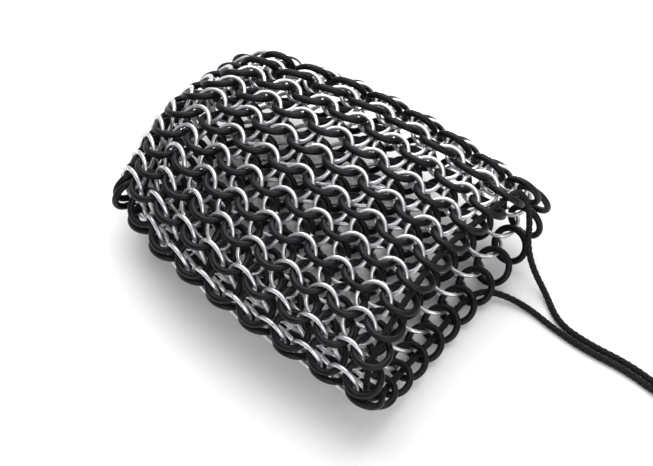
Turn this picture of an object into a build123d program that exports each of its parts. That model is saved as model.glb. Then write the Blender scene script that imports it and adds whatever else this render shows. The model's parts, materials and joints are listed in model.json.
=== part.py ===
from build123d import *
import math
import os
import numpy as np

# Chain mail pouch with a drawstring, lying flat and puffed out.
# X runs along the strips of rings, from the closed end to the mouth. Y runs across them, +Z is up.
# The origin is on the surface that the pouch lies on, under its middle.
# All sizes are millimetres.

# ---- overall sizes of the pouch, between ring middles ----
body_length = 87.0          # from the start of the end fold to the mouth
mouth_width = 81.0
mouth_height = 31.0
end_width = 60.0            # across the closed end
end_height = 28.0           # thickness of the end fold
crown = 3.0                 # extra height halfway along
side_bulge = 8.0            # extra width where the pouch is widest
bulge_place = 0.8           # under 1 puts the widest place nearer the closed end
corner_power = 1.5          # how late the strips grow shorter towards the seams
strip_drop = 13.0           # how much shorter the upper half of an outermost strip is than a middle one
mouth_slant = 5.0           # how far the lower edge of the mouth reaches past the upper edge
mouth_flare = 4.0           # how far the outer strips reach past the middle of the mouth
side_power = 2.3            # 2 makes oval cross-sections, more makes them boxier

# ---- rings ----
rubber_section = 2.0        # thickness of a black rubber ring
rubber_radius = 5.0         # to the middle of its section
wire = 1.3                  # thickness of the aluminium wire
wire_radius = 5.05          # to the middle of the wire
joint_gap = 2.2             # degrees of a wire ring left open at its butt joint
air = 0.14                  # least space between two rings

# ---- weave ----
strips = 22                 # strips from near seam to far seam, black first, each folded round the closed end
steps = 8                   # ring steps from the end fold to the mouth
lean = 30.0                 # degrees that each ring leans over its strip
mouth_lean = 60.0           # the black rings of the mouth stand up on the drawstring
mouth_wire_lean = 16.0
unevenness = 0.16           # how far a ring strays from its regular place
settling_rounds = 420
mending_tries = 400
mending_shift = 0.7
mending_tip = 0.16
spare_air = 0.04            # settling aims for this much more than the least space
settling_push = 0.35        # share of a shortage that one round makes good
settling_tip = 1.6          # how readily a pushed ring tips
settling_return = 0.004     # how strongly each ring is drawn back to its regular place
neighbour_rounds = 15       # rounds between two searches for neighbours
line_points = 60            # points worked out along a strip, and round half its fold
fold_points = 24

# ---- drawstring ----
cord = 2.0
corner_share = 0.45         # share of the shorter run that a bend of the cord takes up
lying_gap = 0.05            # between the lying cord and the ground
pair_pitch = 2.3            # between the middles of the two tails where they lie side by side

# Round the mouth, through the standing rings: distance out of the mouth, then shares of half its width and height.
loop_route = [
    (15.9, 0.661, -0.974), (9.5, 0.690, -0.540), (5.5, 0.854, 0.202), (1.4, 0.832, 0.843),
    (0.1, 0.576, 0.879), (-2.4, 0.017, 1.082), (-0.1, -0.589, 0.900), (1.7, -0.907, 0.582),
    (3.3, -1.008, -0.043), (4.3, -0.903, -0.564), (2.0, -0.517, -0.963), (2.7, -0.098, -0.986),
    (1.4, 0.210, -0.995), (5.2, 0.420, -1.015), (13.5, 0.459, -1.110),
]
# Over the ground to the knot: distance out of the mouth, and share of half its width.
upper_tail_places = [(27.0, 0.504), (38.0, 0.496), (51.0, 0.537), (63.0, 0.514)]
lower_tail_places = [(27.0, 0.446), (38.0, 0.438), (51.0, 0.478), (63.0, 0.456)]
end_places = [(7.5, 0.050), (13.0, 0.100)]
knot_out = 73.0
knot_across = 0.490
knot_width = 6.6
knot_length = 8.0
knot_straight = 3.5         # last stretch of each tail, square to the knot

# ---- rings that stand free of the drawstring at the corner of the mouth: strip, place and side ----
loose_rings = {
    "upper_corner_ring": (21, 8, 1),
    "seam_corner_ring": (23, 8, 1),
    "lower_corner_ring": (21, 8, -1),
    "lower_loose_ring": (17, 8, -1),
}

os.makedirs("parts", exist_ok=True)


def unit(vectors):
    return vectors / np.linalg.norm(vectors, axis=-1, keepdims=True)


# ---- the puffed surface that the rings lie in ----

def cross_section(along):
    """Points of the upper half of the pouch's cross-section, from the near seam over to the far seam."""
    fall = (1 - along) ** 2
    bulge = side_bulge * math.sin(math.pi * along ** bulge_place)
    width = mouth_width - (mouth_width - end_width) * fall + bulge
    height = mouth_height - (mouth_height - end_height) * fall + crown * math.sin(math.pi * along)
    turn = np.linspace(0, math.pi, 361)
    y = -width / 2 * np.sign(np.cos(turn)) * np.abs(np.cos(turn)) ** (2 / side_power)
    z = height / 2 * np.abs(np.sin(turn)) ** (2 / side_power)
    return y, z, np.full_like(y, height / 2)


def section_point(share, x):
    """Where a strip crosses the cross-section at x: y, z above the middle level, and that level."""
    y, z, level = cross_section(min(max(x / body_length, 0.0), 1.0))
    run = np.concatenate([[0], np.cumsum(np.hypot(np.diff(y), np.diff(z)))])
    at = share * run[-1]
    return np.interp(at, run, y), np.interp(at, run, z), level[0]


def strip_line(share):
    """Upper half of one strip, from the middle of the end fold to the mouth: x, y, z and the middle level."""
    edge = abs(2 * share - 1) ** corner_power
    stop = body_length + mouth_flare * edge
    length = body_length + math.pi / 4 * end_height - strip_drop * edge
    start = 0.0
    for _ in range(3):
        start = stop - length + math.pi / 2 * section_point(share, start)[1]
    line = []
    for x in np.linspace(start, stop, line_points):
        line.append([x, *section_point(share, x)])
    line = np.array(line)
    fold = line[0, 2]
    bend = [
        [start - fold * math.cos(a), line[0, 1], fold * math.sin(a), line[0, 3]]
        for a in np.linspace(0, math.pi / 2, fold_points)[:-1]
    ]
    return np.vstack([bend, line])


class Surface:
    def __init__(self):
        self.lines = {}

    def line(self, share):
        if share not in self.lines:
            points = strip_line(share)
            pieces = np.linalg.norm(np.diff(points[:, :3], axis=0), axis=1)
            run = np.concatenate([[0], np.cumsum(pieces)])
            self.lines[share] = points, run / run[-1]
        return self.lines[share]

    def point(self, share, along, side):
        points, run = self.line(share)
        x, y, z = (np.interp(abs(along), run, points[:, c]) for c in range(3))
        slant = mouth_slant * max(x, 0) / body_length * z * side / mouth_height
        return np.array([x - slant, y, z * side])

    def level(self, share, along):
        points, run = self.line(share)
        return np.interp(along, run, points[:, 3])

    def frame(self, share, along, side):
        """Middle, direction along the strip, direction to the next strip and outward direction."""
        small, step = 0.01, 0.35 / (strips + 1)
        here = self.point(share, along, side)
        if along < small:
            ahead = np.array([0.0, 0.0, 1.0])
        else:
            ahead = self.point(share, min(along + small, 1), side) - self.point(share, along - small, side)
        if share < step:
            across = self.point(step, along, 1) - self.point(step, along, -1)
        elif share > 1 - step:
            across = self.point(1 - step, along, -1) - self.point(1 - step, along, 1)
        else:
            across = self.point(share + step, along, side) - self.point(share - step, along, side)
        ahead = unit(ahead)
        across = unit(across - ahead * (across @ ahead))
        outward = np.cross(ahead, across)
        core = np.array([max(here[0], end_height), here[1] * 0.8, 0])
        if outward @ (here - core) < 0:
            outward = -outward
        return here, ahead, across, outward


# ---- the weave ----

def weave():
    """Every ring as strip, step, side, middle and axis, before the mail settles."""
    chance = np.random.default_rng(4)
    surface = Surface()
    rings = []
    for strip in range(strips + 2):
        share = strip / (strips + 1)
        black = strip % 2 == 1
        seam = strip in (0, strips + 1)
        places = range(steps + 1) if black else [n + 0.5 for n in range(steps)]
        for place in places:
            if seam and place < 1:
                continue
            for side in (1,) if seam or place == 0 else (1, -1):
                here, ahead, across, outward = surface.frame(share, place / steps, side)
                if seam:
                    angle = 0.0
                    beside = (1 if strip == 0 else strips) / (strips + 1)
                    x = sum(surface.point(beside, place / steps, layer)[0] for layer in (1, -1)) / 2
                    here = np.array([x, section_point(share, x)[0], 0.0])
                elif place == steps:
                    angle = mouth_lean
                elif place == steps - 0.5:
                    angle = -mouth_wire_lean
                else:
                    angle = lean if black else -lean
                if place == 0:
                    outward = np.array([-1.0, 0, 0])
                    across = np.array([0.0, 1, 0])
                axis = outward * math.cos(math.radians(angle)) + across * math.sin(math.radians(angle))
                level = surface.level(share, place / steps)
                here = here + [0, 0, level] + chance.normal(0, unevenness / 2, 3)
                axis = unit(axis + chance.normal(0, unevenness / 6, 3))
                ring = dict(strip=strip, place=place, side=side, black=black, middle=here, axis=axis)
                ring["radius"] = rubber_radius if black else wire_radius
                ring["section"] = rubber_section if black else wire
                rings.append(ring)
    return rings


def closest(middle_a, axis_a, radius_a, middle_b, axis_b, radius_b):
    """Nearest points of pairs of circles."""
    helper = np.where(np.abs(axis_a[:, 2:]) < 0.8, [[0.0, 0, 1]], [[1.0, 0, 0]])
    u = unit(np.cross(axis_a, helper))
    v = np.cross(axis_a, u)
    turn = np.linspace(0, 2 * math.pi, 40, endpoint=False)
    around = np.cos(turn)[:, None, None] * u + np.sin(turn)[:, None, None] * v
    points = middle_a + radius_a[:, None] * around
    others = onto(points, middle_b, axis_b, radius_b)
    best = np.argmin(np.linalg.norm(points - others, axis=-1), axis=0)
    rows = np.arange(len(best))
    point, other = points[best, rows], others[best, rows]
    for _ in range(4):
        point = onto(other, middle_a, axis_a, radius_a)
        other = onto(point, middle_b, axis_b, radius_b)
    return point, other


def onto(points, middle, axis, radius):
    """The nearest point of each circle to a point."""
    away = points - middle
    away = away - (away * axis).sum(-1, keepdims=True) * axis
    return middle + radius[:, None] * unit(away + 1e-9)


def settle(rings):
    """Moves and tips the rings until none touches another."""
    middle = np.array([r["middle"] for r in rings])
    axis = np.array([r["axis"] for r in rings])
    home = middle.copy()
    radius = np.array([r["radius"] for r in rings])
    thick = np.array([r["section"] for r in rings])
    reach = 2 * max(rubber_radius, wire_radius) + rubber_section + 1.5
    for turn in range(settling_rounds):
        if turn % neighbour_rounds == 0:
            apart = np.linalg.norm(middle[:, None] - middle[None], axis=-1)
            a, b = np.nonzero(np.triu(apart < reach, 1))
            need = (thick[a] + thick[b]) / 2 + air + spare_air
        p, q = closest(middle[a], axis[a], radius[a], middle[b], axis[b], radius[b])
        gap = np.linalg.norm(p - q, axis=1)
        short = np.clip(need - gap, 0, 0.5)
        if short.max() < spare_air / 2:
            break
        push = (p - q) / gap[:, None] * short[:, None] * settling_push
        shift, tip = np.zeros_like(middle), np.zeros_like(middle)
        for who, at, way in ((a, p, push), (b, q, -push)):
            np.add.at(shift, who, way)
            np.add.at(tip, who, np.cross(at - middle[who], way) / (radius[who] ** 2)[:, None])
        middle = middle + shift + settling_return * (home - middle)
        axis = unit(axis + np.cross(settling_tip * tip, axis))
    for ring, where, way in zip(rings, middle, axis):
        ring.update(middle=where, axis=way)
    print(f"settled in {turn} rounds, tightest pair {short.max():.3f} short of its clearance")


def linked(ring, other):
    """Whether the second circle passes through the first one once."""
    helper = [0, 0, 1] if abs(other["axis"][2]) < 0.8 else [1, 0, 0]
    u = unit(np.cross(other["axis"], helper))
    v = np.cross(other["axis"], u)
    turn = np.linspace(0, 2 * math.pi, 181)[:, None]
    points = other["middle"] + other["radius"] * (np.cos(turn) * u + np.sin(turn) * v) - ring["middle"]
    height = points @ ring["axis"]
    inside = 0
    for n in np.nonzero(height[:-1] * height[1:] < 0)[0]:
        inside += np.linalg.norm((points[n] + points[n + 1]) / 2) < ring["radius"]
    return inside == 1


def wanted_links(rings):
    """Pairs that the weave links: rings half a step apart in strips beside each other."""
    table = {(r["strip"], r["place"], r["side"]): r for r in rings}
    pairs = []
    for ring in rings:
        for half in (-0.5, 0.5):
            for side in (1, -1):
                other = table.get((ring["strip"] + 1, ring["place"] + half, side))
                seam = ring["strip"] in (0, strips)
                fold = 0 in (ring["place"], ring["place"] + half)
                if other and (side == ring["side"] or seam or fold):
                    pairs.append((ring, other))
    return pairs


def mend_links(rings):
    """Shifts and tips the rings of a tight corner until they hold all that they should."""
    chance = np.random.default_rng(1)
    pairs = wanted_links(rings)
    for ring in [one for pair in pairs if not linked(*pair) for one in pair]:
        beside = [b if a is ring else a for a, b in pairs if a is ring or b is ring]
        start = ring["middle"], ring["axis"]
        best = sum(linked(ring, other) for other in beside), *start
        for _ in range(mending_tries):
            if best[0] == len(beside):
                break
            ring["middle"] = start[0] + chance.normal(0, mending_shift, 3)
            ring["axis"] = unit(start[1] + chance.normal(0, mending_tip, 3))
            held = sum(linked(ring, other) for other in beside)
            if held > best[0]:
                best = held, ring["middle"], ring["axis"]
        ring["middle"], ring["axis"] = best[1:]


def report_links(rings):
    pairs = wanted_links(rings)
    held = sum(linked(*pair) for pair in pairs)
    close = [
        (a, b) for i, a in enumerate(rings) for b in rings[i + 1:]
        if np.linalg.norm(a["middle"] - b["middle"]) < a["radius"] + b["radius"]
    ]
    found = sum(linked(*pair) for pair in close)
    print(f"{len(rings)} rings, {held} of {len(pairs)} links of the weave held, {found} links in all")


def ring_solid(ring, chance):
    """A closed rubber ring, or a wire ring with the fine slit of its butt joint."""
    plane = Plane(origin=tuple(ring["middle"]), z_dir=tuple(ring["axis"]))
    if ring["black"]:
        return Solid.make_torus(ring["radius"], ring["section"] / 2, plane)
    turned = plane.x_dir.rotate(Axis((0, 0, 0), tuple(ring["axis"])), chance.uniform(0, 360))
    slit = Plane(origin=tuple(ring["middle"]), x_dir=tuple(turned), z_dir=tuple(ring["axis"]))
    return Solid.make_torus(ring["radius"], ring["section"] / 2, slit, major_angle=360 - joint_gap)


def extent(ring):
    """Lowest and highest corner of the box round a ring."""
    half = ring["radius"] * np.sqrt(np.maximum(0, 1 - ring["axis"] ** 2)) + ring["section"] / 2
    return ring["middle"] - half, ring["middle"] + half


# ---- the drawstring ----

def mouth_point(out, across, up):
    """A point by its distance out of the mouth, and its shares of half the mouth's width and height."""
    return (
        body_length + out,
        across * mouth_width / 2,
        mouth_height / 2 * (1 + up),
    )


def cord_path(points, name):
    """Straight runs joined by arcs that take up the same share of the shorter run at every bend."""
    corners = [Vector(*p) for p in points]
    radii = []
    for before, here, after in zip(corners, corners[1:], corners[2:]):
        half_turn = math.radians((here - before).get_angle(after - here)) / 2
        shorter = min((here - before).length, (after - here).length)
        radii.append(corner_share * shorter / math.tan(half_turn))
    path = FilletPolyline(*corners, radius=radii)
    print(name, f"{path.length:.1f} mm, bend radii", ", ".join(f"{r:.1f}" for r in radii))
    return path


def cord_tube(path, name):
    section = Plane(origin=path @ 0, z_dir=path % 0) * Circle(cord / 2)
    tube = sweep(section, path=path)
    expected = math.pi * (cord / 2) ** 2 * path.length
    print(name, f"volume {tube.volume:.1f}, section times length {expected:.1f}")
    return tube.solid()


def cord_room(path, rings):
    """Smallest space between a cord and the rings."""
    line = np.array([tuple(path @ t) for t in np.linspace(0, 1, 700)])[:, None, :]
    keys = ("middle", "axis", "radius", "section")
    middle, axis, radius, section = (np.array([r[key] for r in rings]) for key in keys)
    away = line - middle
    away = away - (away * axis).sum(-1, keepdims=True) * axis
    near = middle + radius[:, None] * unit(away)
    gaps = np.linalg.norm(near - line, axis=-1).min(0) - (cord + section) / 2
    return gaps.min()


def knot():
    """Outer shape of the overhand knot that ties the two tails together."""
    ends = (Align.CENTER, Align.CENTER, Align.MIN)
    barrel = Cylinder(knot_width / 2, knot_length, rotation=(0, 90, 0), align=ends)
    barrel = fillet(barrel.edges(), knot_width * 0.15)
    x, y, _ = floor_point(knot_out, knot_across, 0)
    return Pos(x, y, floor + knot_width / 2 + lying_gap) * barrel


def floor_point(out, across, up):
    """A point by its distance out of the mouth, share of half its width and height over the ground."""
    return body_length + out, across * mouth_width / 2, floor + up


def tail_route(start, heading, points, side):
    """From where the tail leaves the mouth, down to the ground and over it, into its side of the knot."""
    landing = start + heading * ((floor + lying - start.Z) / heading.Z)
    ground = [floor_point(out, across, lying) for out, across in points]
    x, y, z = floor_point(knot_out, knot_across, knot_width / 2 + lying_gap)
    y += side * pair_pitch / 2
    return [start, landing, *ground, (x - knot_straight, y, z), (x, y, z)]


def save(name, solids, kind):
    """Writes the solids of one node, moved to the origin of the part."""
    placed = [solid.moved(Location(tuple(-origin))) for solid in solids]
    export_step(placed[0] if len(placed) == 1 else Compound(children=placed), f"parts/{name}.step")
    print(f"{name}: {len(solids)} {kind}")


mail = weave()
mend_links(mail)
settle(mail)
report_links(mail)
floor = min(extent(ring)[0][2] for ring in mail)
lying = cord / 2 + lying_gap

loop = cord_path([mouth_point(*place) for place in loop_route], "drawstring_in_mouth")
upper_tail = cord_path(tail_route(loop @ 0, loop % 0 * -1, upper_tail_places, 1), "upper_tail")
lower_tail = cord_path(tail_route(loop @ 1, loop % 1, lower_tail_places, -1), "lower_tail")
for name, path in (("drawstring_in_mouth", loop), ("upper_tail", upper_tail), ("lower_tail", lower_tail)):
    print(name, f"clears the rings by {cord_room(path, mail):.2f} mm")

low, high = (np.array([extent(ring)[end] for ring in mail]) for end in (0, 1))
loop_tube = cord_tube(loop, "drawstring_in_mouth")
box = loop_tube.bounding_box()
low, high = np.minimum(low.min(0), tuple(box.min)), np.maximum(high.max(0), tuple(box.max))
origin = np.array([(low[0] + high[0]) / 2, (low[1] + high[1]) / 2, floor])
print("origin", np.round(origin, 3), "size", np.round(high - low, 2))

chance = np.random.default_rng(9)
for name, place in loose_rings.items():
    ring = next(r for r in mail if (r["strip"], r["place"], r["side"]) == place)
    save(name, [ring_solid(ring, chance)], "ring")
    inward = np.array([-1.0, 0, 0])
    inward = unit(inward - (inward @ ring["axis"]) * ring["axis"])
    hook = ring["middle"] + ring["radius"] * inward - origin
    print(name, "hooked at", np.round(hook, 3), "turning about", np.round(np.cross(ring["axis"], inward), 4))
for strip in range(strips + 2):
    rings = [r for r in mail if r["strip"] == strip]
    rings = [r for r in rings if (strip, r["place"], r["side"]) not in loose_rings.values()]
    material = "rubber" if strip % 2 else "wire"
    seams = {0: f"near_seam_{material}", strips + 1: f"far_seam_{material}"}
    name = seams.get(strip, f"strip_{strip:02d}_{material}")
    save(name, [ring_solid(r, chance) for r in rings], "rings")

save("drawstring_in_mouth", [loop_tube], "cord")
save("upper_tail", [cord_tube(upper_tail, "upper_tail")], "cord")
save("lower_tail", [cord_tube(lower_tail, "lower_tail")], "cord")
save("tail_knot", [knot().solid()], "knot")
ends = []
for side in (1, -1):
    x, y, z = floor_point(knot_out + knot_length, knot_across, knot_width / 2 + lying_gap)
    points = [(x, y + side * pair_pitch / 2, z)]
    points.append((x + knot_straight, y + side * pair_pitch / 2, z))
    for out, across in end_places:
        points.append(floor_point(knot_out + knot_length + out, knot_across + side * across, lying))
    ends.append(cord_tube(cord_path(points, "tail end"), "tail end"))
save("tail_ends", ends, "cord ends")
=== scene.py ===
import json
import math

import bpy
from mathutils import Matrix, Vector


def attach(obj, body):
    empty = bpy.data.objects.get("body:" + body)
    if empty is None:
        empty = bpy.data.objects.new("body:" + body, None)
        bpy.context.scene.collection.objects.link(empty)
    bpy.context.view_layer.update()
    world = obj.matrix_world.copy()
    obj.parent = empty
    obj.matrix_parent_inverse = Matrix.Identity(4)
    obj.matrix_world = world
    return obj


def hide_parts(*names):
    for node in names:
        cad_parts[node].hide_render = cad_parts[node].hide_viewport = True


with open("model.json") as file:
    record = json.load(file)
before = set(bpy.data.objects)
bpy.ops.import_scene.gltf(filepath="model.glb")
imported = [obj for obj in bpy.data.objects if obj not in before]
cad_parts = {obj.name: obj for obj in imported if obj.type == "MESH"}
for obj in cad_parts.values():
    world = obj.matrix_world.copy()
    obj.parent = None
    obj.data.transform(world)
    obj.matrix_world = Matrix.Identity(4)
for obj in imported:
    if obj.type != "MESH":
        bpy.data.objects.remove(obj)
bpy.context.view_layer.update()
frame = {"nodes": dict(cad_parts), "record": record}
cadNodes = frame["nodes"]
print("mail loaded,", len(cadNodes), "nodes")


cameraView = {
    "azimuth": 38.1,  # degrees round from the front, towards the mouth
    "elevation": 56.3,
    "distance": 0.7,
    "lookAt": (0.0040, -0.0033, 0.015),
    "focalLength": 133.7,
}


def addCamera(settings):
    turn = math.radians(settings["azimuth"])
    lift = math.radians(settings["elevation"])
    back = Vector(
        (math.sin(turn) * math.cos(lift), -math.cos(turn) * math.cos(lift), math.sin(lift))
    )
    bpy.ops.object.camera_add(location=Vector(settings["lookAt"]) + back * settings["distance"])
    camera = bpy.context.object
    camera.name = "studioCamera"
    camera.rotation_euler = (-back).to_track_quat("-Z", "Y").to_euler()
    camera.data.lens = settings["focalLength"]
    camera.data.clip_start = 0.02
    camera.data.clip_end = 20
    bpy.context.scene.camera = camera


addCamera(cameraView)


# the cord's three runs, in millimetres, each laid along its own smooth line
mouthRoute = [
    (59.1, 27.0, 3.86),
    (52.7, 28.1, 10.59),
    (48.7, 34.8, 22.09),
    (44.6, 33.9, 32.03),
    (43.3, 23.5, 32.59),
    (40.8, 0.9, 35.73),
    (43.1, -23.7, 32.91),
    (44.9, -36.5, 27.98),
    (46.5, -40.6, 18.29),
    (47.5, -36.4, 10.22),
    (45.2, -20.8, 4.03),
    (45.9, -3.8, 3.68),
    (44.6, 8.7, 3.54),
    (48.4, 17.2, 3.23),
    (56.7, 18.8, 1.76),
]
upperTailRoute = [
    (59.1, 27.0, 3.86),
    (61.7, 26.5, 1.05),
    (70.2, 20.6, 1.05),
    (81.2, 20.3, 1.05),
    (94.2, 21.9, 1.05),
    (106.2, 21.0, 1.05),
    (112.7, 21.2, 3.35),
    (116.2, 21.2, 3.35),
]
lowerTailRoute = [
    (56.7, 18.8, 1.76),
    (60.6, 19.5, 1.05),
    (70.2, 18.3, 1.05),
    (81.2, 17.9, 1.05),
    (94.2, 19.5, 1.05),
    (106.2, 18.7, 1.05),
    (112.7, 18.9, 3.35),
    (116.2, 18.9, 3.35),
]

braid = {
    "strandsEachWay": 4,
    "turnLength": 0.0078,  # one strand goes once round the cord in this
    "middleRadius": 0.00070,
    "overUnder": 0.00014,  # how far a strand rises and dips at a crossing
    "strandHalfWidth": 0.00050,
    "strandHalfThickness": 0.00020,
    "coreRadius": 0.00062,
    "strandSides": 6,
    "edgeDrop": 0.5,  # how far a flat strand bends round the core, 1 is all the way
    "coreSides": 8,
    "step": 0.00026,
    "cordRadius": 0.001,
    # the melted tip: how far out in cord radii, and how wide in core radii
    "tipShape": [(0.0, 1.55), (0.35, 1.62), (0.8, 1.35), (1.1, 0.75), (1.2, 0.2)],
}


smoothness = 24  # points that the smooth line gets between two points of a route


def layRoute(name, points):
    # a smooth open line through the route, read back as points along it
    curve = bpy.data.curves.new(name, "CURVE")
    curve.dimensions = "3D"
    spline = curve.splines.new("NURBS")
    spline.points.add(len(points) - 1)
    for controlPoint, place in zip(spline.points, points):
        controlPoint.co = (*(number / 1000 for number in place), 1)
    spline.order_u = 3
    spline.use_endpoint_u = True
    spline.resolution_u = smoothness
    guide = bpy.data.objects.new(name, curve)
    bpy.context.scene.collection.objects.link(guide)
    bpy.context.view_layer.update()
    mesh = bpy.data.meshes.new_from_object(guide)
    line = [vertex.co.copy() for vertex in mesh.vertices]
    bpy.data.meshes.remove(mesh)
    bpy.data.objects.remove(guide)
    bpy.data.curves.remove(curve)
    return line


def evenly(line, step):
    # the same line with its points the same distance apart
    along = [0]
    for before, after in zip(line, line[1:]):
        along.append(along[-1] + (after - before).length)
    count = max(2, round(along[-1] / step))
    spaced = []
    segment = 0
    for index in range(count + 1):
        wanted = along[-1] * index / count
        while segment < len(line) - 2 and along[segment + 1] < wanted:
            segment += 1
        span = along[segment + 1] - along[segment]
        share = (wanted - along[segment]) / span if span else 0
        spaced.append(line[segment].lerp(line[segment + 1], min(1, share)))
    return spaced, along[-1]


def framesAlong(line):
    # a direction along the line and two across it, which don't twist
    frames = []
    across = None
    for index, point in enumerate(line):
        ahead = line[min(index + 1, len(line) - 1)]
        behind = line[max(index - 1, 0)]
        along = (ahead - behind).normalized()
        if across is None:
            across = along.orthogonal()
        across = (across - along * across.dot(along)).normalized()
        frames.append((point, along, across, along.cross(across)))
    return frames


def tube(sections, vertices, faces, coordinates):
    # joins rings of points into a closed tube, with the way round and along kept as UV
    sides = len(sections[0])
    first = len(vertices)
    for section in sections:
        vertices.extend(section)
    for row in range(len(sections) - 1):
        for side in range(sides):
            other = (side + 1) % sides
            faces.append(
                (
                    first + row * sides + side,
                    first + row * sides + other,
                    first + (row + 1) * sides + other,
                    first + (row + 1) * sides + side,
                )
            )
            left, right = side / sides, (side + 1) / sides
            coordinates.extend([(row, left), (row, right), (row + 1, right), (row + 1, left)])
    faces.append(tuple(first + side for side in reversed(range(sides))))
    coordinates.extend([(0, 0)] * sides)
    last = first + (len(sections) - 1) * sides
    faces.append(tuple(last + side for side in range(sides)))
    coordinates.extend([(len(sections), 0)] * sides)


def ringOfPoints(centre, across, up, radius):
    angles = [math.tau * side / braid["coreSides"] for side in range(braid["coreSides"])]
    return [
        centre + (across * math.cos(angle) + up * math.sin(angle)) * radius for angle in angles
    ]


def weaveCord(name, line, sealed=False):
    # strands go round the core both ways, over one and under the next
    spaced, length = evenly(line, braid["step"])
    frames = framesAlong(spaced)
    step = length / (len(spaced) - 1)
    vertices, faces, coordinates = [], [], []
    core = [
        ringOfPoints(point, across, up, braid["coreRadius"]) for point, _, across, up in frames
    ]
    if sealed:
        # the cut end is melted into a small rounded tip
        point, along, across, up = frames[-1]
        for reach, width in braid["tipShape"]:
            outer = point + along * reach * braid["cordRadius"]
            core.append(ringOfPoints(outer, across, up, braid["coreRadius"] * width))
    tube(core, vertices, faces, coordinates)
    strands = braid["strandsEachWay"]
    for way in (1, -1):
        for strand in range(strands):
            sections = []
            for index, (point, along, across, up) in enumerate(frames):
                turned = math.tau * index * step / braid["turnLength"]
                angle = math.tau * strand / strands + way * turned
                crossing = math.cos(strands * turned)
                outward = across * math.cos(angle) + up * math.sin(angle)
                sideways = up * math.cos(angle) - across * math.sin(angle)
                radius = braid["middleRadius"] + way * crossing * braid["overUnder"]
                centre = point + outward * radius
                slope = way * math.tau * radius / braid["turnLength"]
                wide = (sideways - along * slope).normalized()
                # a flat strand bends round the core, so its edges lie lower than its middle
                section = []
                for side in range(braid["strandSides"]):
                    turn = math.tau * side / braid["strandSides"]
                    shift = math.cos(turn) * braid["strandHalfWidth"]
                    drop = shift * shift / (2 * radius) * braid["edgeDrop"]
                    rise = math.sin(turn) * braid["strandHalfThickness"] - drop
                    section.append(centre + wide * shift + outward * rise)
                sections.append(section)
            tube(sections, vertices, faces, coordinates)
    mesh = bpy.data.meshes.new(name)
    mesh.from_pydata(vertices, [], faces)
    uvLayer = mesh.uv_layers.new(name="alongStrand")
    for loop, (row, share) in zip(uvLayer.data, coordinates):
        loop.uv = (row * step, share)
    mesh.polygons.foreach_set("use_smooth", [True] * len(mesh.polygons))
    mesh.update()
    cord = bpy.data.objects.new(name, mesh)
    bpy.context.scene.collection.objects.link(cord)
    return cord, spaced, length


tailKnot = {
    "length": 8.0,  # millimetres, as all of these
    "wrapRadius": 2.2,
    "wrapStart": 6.0,
    "wrapEnd": 2.0,
    "turns": 1.5,
    "pointsPerTurn": 8,
    "endLength": 13.0,
    "floorHeight": 1.08,  # of the middle of a lying end
    "halfPitch": 1.15,  # from the middle of the pair to the middle of each cord
    "start": (116.2, 20.03, 3.35),
}


def tieKnot(cordShift):
    # two cords tied as one: in along the middle, back round the outside, and out through it
    x, y, z = tailKnot["start"]
    exitPlace = x + tailKnot["length"]
    points = [(x, y + cordShift, z), (x + 1.5, y + cordShift * 0.6, z)]
    points += [(x + 4.5, y + cordShift * 0.4, z + 0.3)]
    count = round(tailKnot["turns"] * tailKnot["pointsPerTurn"])
    for index in range(count + 1):
        share = index / count
        angle = math.tau * tailKnot["turns"] * share + math.pi / 2
        place = tailKnot["wrapStart"] + (tailKnot["wrapEnd"] - tailKnot["wrapStart"]) * share
        points.append(
            (
                x + place + cordShift * 0.9,
                y + math.cos(angle) * tailKnot["wrapRadius"],
                z + math.sin(angle) * tailKnot["wrapRadius"],
            )
        )
    points += [
        (x + 2.6, y - cordShift * 0.4, z),
        (x + 6.0, y + cordShift * 0.6, z),
        (exitPlace + 1.0, y + cordShift * 1.2, z - 0.6),
        (exitPlace + 4.5, y + cordShift * 2.0, z - 2.2),
        (exitPlace + 8.5, y + cordShift * 2.6, tailKnot["floorHeight"]),
        (exitPlace + tailKnot["endLength"], y + cordShift * 3.2, tailKnot["floorHeight"]),
    ]
    return points


def layCord():
    mouthCord, _, mouthLength = weaveCord("mouthCord", layRoute("mouthGuide", mouthRoute))
    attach(mouthCord, "mail")
    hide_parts("drawstring_in_mouth")
    made = [mouthCord]
    for side, route, node, shift in (
        ("upper", upperTailRoute, "upper_tail", tailKnot["halfPitch"]),
        ("lower", lowerTailRoute, "lower_tail", -tailKnot["halfPitch"]),
    ):
        tail, tailLine, tailLength = weaveCord(side + "Tail", layRoute(side + "Guide", route))
        knotLine = layRoute(side + "KnotGuide", tieKnot(shift))
        knot, _, _ = weaveCord(side + "Knot", knotLine, sealed=True)
        for piece in (tail, knot):
            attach(piece, "mail")
            made.append(piece)
        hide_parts(node)
        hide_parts("tail_knot", "tail_ends")
        print(side, "tail", round(tailLength * 1000, 1), "mm")
    print("cord in the mouth", round(mouthLength * 1000, 1), "mm")
    return made


cordPieces = layCord()


def hexColour(code):
    # sRGB hex to the linear colour that the shader needs
    values = [int(code[index : index + 2], 16) / 255 for index in (1, 3, 5)]
    linear = [
        value / 12.92 if value <= 0.04045 else ((value + 0.055) / 1.055) ** 2.4
        for value in values
    ]
    return (*linear, 1)


def addNode(tree, kind, settings=None, inputs=None):
    node = tree.nodes.new(kind)
    for name, value in (settings or {}).items():
        setattr(node, name, value)
    for socket, value in (inputs or {}).items():
        if isinstance(value, bpy.types.NodeSocket):
            tree.links.new(value, node.inputs[socket])
        else:
            node.inputs[socket].default_value = value
    return node


def startMaterial(name):
    material = bpy.data.materials.new(name)
    material.use_nodes = True
    tree = material.node_tree
    tree.nodes.clear()
    output = addNode(tree, "ShaderNodeOutputMaterial")
    shader = addNode(tree, "ShaderNodeBsdfPrincipled")
    tree.links.new(shader.outputs["BSDF"], output.inputs["Surface"])
    return material, tree, shader


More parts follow.
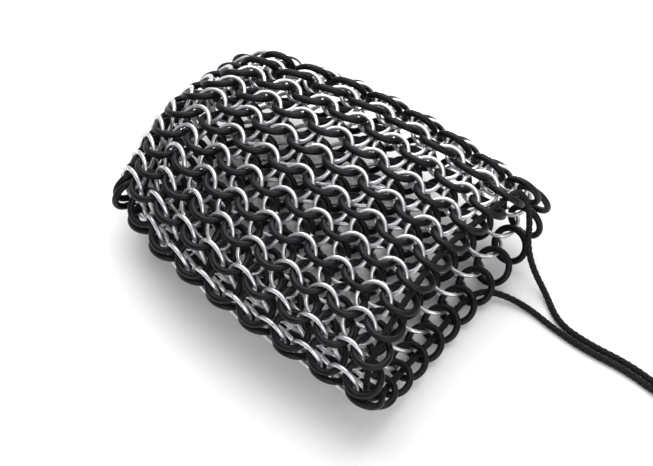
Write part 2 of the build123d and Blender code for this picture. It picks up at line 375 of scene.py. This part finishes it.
drawnWire = {
    "bright": "#F0F1F3",
    "dull": "#C3C5C9",
    "marks": 1.8,  # mm across one duller patch
    "grain": 0.36,  # mm, the texture that the die leaves, drawn coarse enough to show
    "roughnessLow": 0.28,
    "roughnessHigh": 0.46,
}


def makeDrawnWire():
    # bright aluminium wire, drawn through a die and cut into rings: a satin shine,
    # a little duller where rings have rubbed on each other
    material, tree, shader = startMaterial("drawnAluminiumWire")
    place = addNode(tree, "ShaderNodeTexCoord").outputs["Object"]
    marks = addNode(
        tree,
        "ShaderNodeTexNoise",
        inputs={
            "Vector": place,
            "Scale": 1000 / drawnWire["marks"],
            "Detail": 4.0,
            "Roughness": 0.6,
        },
    ).outputs["Fac"]
    grain = addNode(
        tree,
        "ShaderNodeTexNoise",
        inputs={"Vector": place, "Scale": 1000 / drawnWire["grain"], "Detail": 2.0},
    ).outputs["Fac"]
    colour = addNode(
        tree,
        "ShaderNodeMix",
        {"data_type": "RGBA"},
        {
            0: addNode(
                tree,
                "ShaderNodeMapRange",
                inputs={"Value": marks, "From Min": 0.35, "From Max": 0.65},
            ).outputs[0],
            6: hexColour(drawnWire["dull"]),
            7: hexColour(drawnWire["bright"]),
        },
    ).outputs[2]
    roughness = addNode(
        tree,
        "ShaderNodeMapRange",
        inputs={
            "Value": marks,
            "From Min": 0.3,
            "From Max": 0.7,
            "To Min": drawnWire["roughnessHigh"],
            "To Max": drawnWire["roughnessLow"],
        },
    ).outputs[0]
    bump = addNode(
        tree,
        "ShaderNodeBump",
        inputs={"Height": grain, "Strength": 0.25, "Distance": 0.00004},
    ).outputs["Normal"]
    tree.links.new(colour, shader.inputs["Base Color"])
    tree.links.new(roughness, shader.inputs["Roughness"])
    tree.links.new(bump, shader.inputs["Normal"])
    shader.inputs["Metallic"].default_value = 1.0
    return material


blackRubber = {
    "deep": "#060608",
    "bloom": "#14161C",
    "bloomSize": 3.2,  # mm across one paler patch
    "skin": 0.64,  # mm, the extruded skin's texture, drawn coarse enough to show
    "roughnessLow": 0.34,
    "roughnessHigh": 0.50,
}


def makeBlackRubber():
    # EPDM rubber, extruded and cut: deep black with a soft sheen, paler where the
    # surface has bloomed or picked up dust
    material, tree, shader = startMaterial("extrudedEpdmRubber")
    place = addNode(tree, "ShaderNodeTexCoord").outputs["Object"]
    patches = addNode(
        tree,
        "ShaderNodeTexNoise",
        inputs={
            "Vector": place,
            "Scale": 1000 / blackRubber["bloomSize"],
            "Detail": 5.0,
            "Roughness": 0.62,
        },
    ).outputs["Fac"]
    skin = addNode(
        tree,
        "ShaderNodeTexNoise",
        inputs={"Vector": place, "Scale": 1000 / blackRubber["skin"], "Detail": 3.0},
    ).outputs["Fac"]
    colour = addNode(
        tree,
        "ShaderNodeMix",
        {"data_type": "RGBA"},
        {
            0: addNode(
                tree,
                "ShaderNodeMapRange",
                inputs={"Value": patches, "From Min": 0.4, "From Max": 0.72},
            ).outputs[0],
            6: hexColour(blackRubber["deep"]),
            7: hexColour(blackRubber["bloom"]),
        },
    ).outputs[2]
    roughness = addNode(
        tree,
        "ShaderNodeMapRange",
        inputs={
            "Value": patches,
            "From Min": 0.3,
            "From Max": 0.7,
            "To Min": blackRubber["roughnessLow"],
            "To Max": blackRubber["roughnessHigh"],
        },
    ).outputs[0]
    bump = addNode(
        tree,
        "ShaderNodeBump",
        inputs={"Height": skin, "Strength": 0.35, "Distance": 0.00005},
    ).outputs["Normal"]
    tree.links.new(colour, shader.inputs["Base Color"])
    tree.links.new(roughness, shader.inputs["Roughness"])
    tree.links.new(bump, shader.inputs["Normal"])
    shader.inputs["IOR"].default_value = 1.52
    shader.inputs["Specular IOR Level"].default_value = 0.2
    return material


braidedCord = {
    "dark": "#050506",
    "light": "#141416",
    "fluff": 0.48,  # mm, the loose fibres' unevenness
    "filaments": (350.0, 26.0, 1.0),  # how often filaments vary along a metre and round a strand
}


def makeBraidedCord():
    # polyester braid: black filaments side by side along each strand, with a dry sheen
    material, tree, shader = startMaterial("braidedPolyester")
    uv = addNode(tree, "ShaderNodeUVMap", {"uv_map": "alongStrand"}).outputs["UV"]
    place = addNode(tree, "ShaderNodeTexCoord").outputs["Object"]
    stretched = addNode(
        tree,
        "ShaderNodeMapping",
        inputs={"Vector": uv, "Scale": braidedCord["filaments"]},
    ).outputs["Vector"]
    filaments = addNode(
        tree,
        "ShaderNodeTexNoise",
        {"noise_dimensions": "2D"},
        {"Vector": stretched, "Scale": 1.0, "Detail": 2.0},
    ).outputs["Fac"]
    fluff = addNode(
        tree,
        "ShaderNodeTexNoise",
        inputs={"Vector": place, "Scale": 1000 / braidedCord["fluff"], "Detail": 3.0},
    ).outputs["Fac"]
    mixed = addNode(
        tree,
        "ShaderNodeMath",
        {"operation": "MULTIPLY_ADD"},
        {0: filaments, 1: 0.7, 2: fluff},
    ).outputs[0]
    colour = addNode(
        tree,
        "ShaderNodeMix",
        {"data_type": "RGBA"},
        {
            0: addNode(
                tree,
                "ShaderNodeMapRange",
                inputs={"Value": mixed, "From Min": 0.65, "From Max": 1.1},
            ).outputs[0],
            6: hexColour(braidedCord["dark"]),
            7: hexColour(braidedCord["light"]),
        },
    ).outputs[2]
    bump = addNode(
        tree,
        "ShaderNodeBump",
        inputs={"Height": mixed, "Strength": 0.4, "Distance": 0.00006},
    ).outputs["Normal"]
    tree.links.new(colour, shader.inputs["Base Color"])
    tree.links.new(bump, shader.inputs["Normal"])
    shader.inputs["Roughness"].default_value = 0.62
    shader.inputs["Sheen Weight"].default_value = 0.05
    shader.inputs["Sheen Roughness"].default_value = 0.4
    shader.inputs["Specular IOR Level"].default_value = 0.2
    return material


def giveMaterial(piece, material):
    piece.data.materials.clear()
    piece.data.materials.append(material)


wireMaterial = makeDrawnWire()
rubberMaterial = makeBlackRubber()
cordMaterial = makeBraidedCord()
slotMaterials = {"wire": wireMaterial, "rubber": rubberMaterial, "cord": cordMaterial}
for row in frame["record"]["subparts"]:
    giveMaterial(cadNodes[row["node"]], slotMaterials[row["material_slot"]])
for piece in cordPieces:
    giveMaterial(piece, cordMaterial)
print("materials on", len(cadNodes) + len(cordPieces), "pieces")


studio = {
    "floorSize": 6.0,
    "floorColour": "#F6F6F6",
    "surround": "#FFFFFF",
    "surroundStrength": 0.33,
    "keyPower": 24.0,
    "keySize": 1.5,
    "keyPlace": (-0.35, 0.55, 1.0),
    "fillPower": 8.0,
    "fillSize": 1.2,
    "fillPlace": (0.9, -0.5, 0.7),
    "aim": (0, 0, 0.02),
    "fibreScale": 900.0,  # of the paper's fine texture, about a millimetre
}


def makeFloorPaint():
    # a seamless matt paper sweep
    material, tree, shader = startMaterial("matPaper")
    place = addNode(tree, "ShaderNodeTexCoord").outputs["Object"]
    fibre = addNode(
        tree,
        "ShaderNodeTexNoise",
        inputs={"Vector": place, "Scale": studio["fibreScale"], "Detail": 4.0},
    ).outputs["Fac"]
    bump = addNode(
        tree, "ShaderNodeBump", inputs={"Height": fibre, "Strength": 0.05, "Distance": 0.00005}
    ).outputs["Normal"]
    tree.links.new(bump, shader.inputs["Normal"])
    shader.inputs["Base Color"].default_value = hexColour(studio["floorColour"])
    shader.inputs["Roughness"].default_value = 0.85
    return material


def addSoftbox(name, place, size, power):
    bpy.ops.object.light_add(type="AREA", location=place)
    light = bpy.context.object
    light.name = name
    light.data.shape = "SQUARE"
    light.data.size = size
    light.data.energy = power
    aim = Vector(studio["aim"]) - Vector(place)
    light.rotation_euler = aim.to_track_quat("-Z", "Y").to_euler()


def buildStudio():
    bpy.ops.object.select_all(action="DESELECT")
    bpy.ops.mesh.primitive_plane_add(size=studio["floorSize"], location=(0, 0, 0))
    floor = bpy.context.object
    floor.name = "studioFloor"
    giveMaterial(floor, makeFloorPaint())
    addSoftbox("keyLight", studio["keyPlace"], studio["keySize"], studio["keyPower"])
    addSoftbox("fillLight", studio["fillPlace"], studio["fillSize"], studio["fillPower"])
    world = bpy.data.worlds.new("studioSurround")
    bpy.context.scene.world = world
    world.use_nodes = True
    background = world.node_tree.nodes["Background"]
    background.inputs["Color"].default_value = hexColour(studio["surround"])
    background.inputs["Strength"].default_value = studio["surroundStrength"]
    bpy.context.scene.view_settings.view_transform = "Standard"


buildStudio()
print("studio ready")
